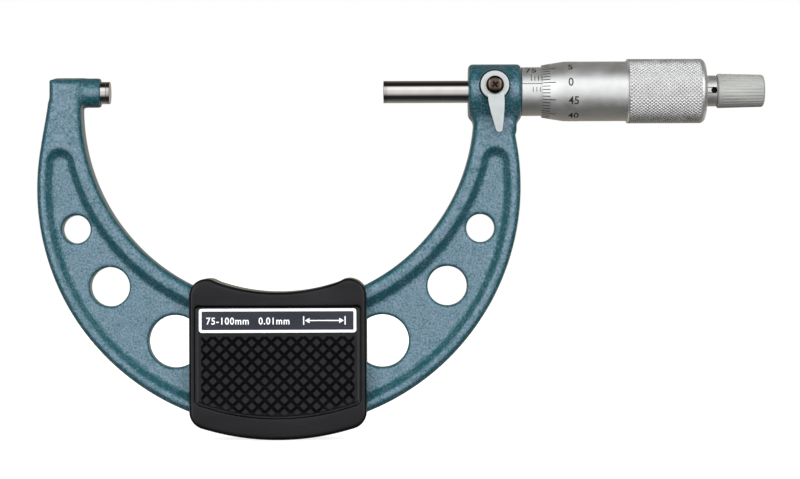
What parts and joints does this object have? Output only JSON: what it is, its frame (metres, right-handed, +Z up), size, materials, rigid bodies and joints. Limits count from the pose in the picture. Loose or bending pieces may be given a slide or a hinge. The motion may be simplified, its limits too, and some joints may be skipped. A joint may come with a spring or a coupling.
{
  "type": "outside micrometer",
  "caption": "Outside micrometer with a cast C-shaped frame, lever lock, graduated sleeve and thimble, ratchet stop and heat-insulating grip covers.",
  "frame": {"origin": "centre of the anvil's measuring face", "axes": "+X along the spindle, out of the anvil's face towards the thimble; +Y away from the side with the lock lever and the name plate; +Z up, with the frame hanging below the spindle"},
  "size_m": [0.2075, 0.0213, 0.1078],
  "materials": {
    "hammer_paint": "blue-green hammertone enamel on a casting",
    "satin_chrome": "satin hard chrome with black-filled marks",
    "polished_steel": "ground and polished",
    "carbide": "lapped carbide",
    "black_plastic": "moulded, diamond grip",
    "plate_blue": "printed plate, satin",
    "grey_plastic": "moulded, fine ribs",
    "lever_grey": "satin",
    "brass": "turned",
    "spring_steel": "dark polished",
    "black_steel": "blackened"
  },
  "bodies": {
    "frame_group": {"frame": "hammer_paint", "anvil": "polished_steel", "anvil_tip": "carbide", "inner_sleeve": "polished_steel", "adjusting_nut": "polished_steel", "lock_washer": "black_steel", "front_cover": "black_plastic", "back_cover": "black_plastic", "name_plate": "plate_blue"},
    "zero_sleeve": {"sleeve": "satin_chrome"},
    "spindle_carrier": {"spindle_tip": "carbide"},
    "thimble_group": {"spindle": "polished_steel", "thimble": "satin_chrome", "ratchet_stud": "satin_chrome", "ratchet_screw": "polished_steel"},
    "ratchet_group": {"ratchet_cap": "grey_plastic", "ratchet_cup": "polished_steel", "ratchet_spring": "spring_steel"},
    "pawl_ring": {"ratchet_pawl": "polished_steel"},
    "lock_group": {"lock_lever": "lever_grey", "lock_stud": "polished_steel", "lock_screw": "spring_steel"},
    "lock_shoe": {"clamp_shoe": "brass"}
  },
  "joints": [
    {"name": "spindle_feed", "type": "slide", "parent": "frame_group", "child": "spindle_carrier", "axis": [1, 0, 0], "range_m": [-0.003, 0.022]},
    {"name": "thimble_turn", "type": "hinge", "parent": "spindle_carrier", "child": "thimble_group", "pos_m": [0.13, 0, 0], "axis": [1, 0, 0], "range_deg": [-2160, 15840]},
    {"name": "ratchet_slip", "type": "hinge", "parent": "thimble_group", "child": "ratchet_group", "pos_m": [0.18, 0, 0], "axis": [1, 0, 0], "continuous": true},
    {"name": "pawl_lift", "type": "slide", "parent": "ratchet_group", "child": "pawl_ring", "axis": [1, 0, 0], "range_m": [0, 0.0007], "stiffness_N_per_m": 800, "deforming": ["ratchet_spring"]},
    {"name": "lock_turn", "type": "hinge", "parent": "frame_group", "child": "lock_group", "pos_m": [0.1095, -0.008, 0.0014], "axis": [0, 1, 0], "range_deg": [0, 55]},
    {"name": "shoe_press", "type": "slide", "parent": "frame_group", "child": "lock_shoe", "axis": [0, 1, 0], "range_m": [0, 0.00025]},
    {"name": "sleeve_zero", "type": "hinge", "parent": "frame_group", "child": "zero_sleeve", "pos_m": [0.13, 0, 0], "axis": [1, 0, 0], "range_deg": [-7.2, 7.2]}
  ],
  "couplings": [
    {"joint": "thimble_turn", "follows": "spindle_feed", "rad_per_m": 12566},
    {"joint": "lock_turn", "follows": "shoe_press", "rad_per_m": 3839.7}
  ]
}
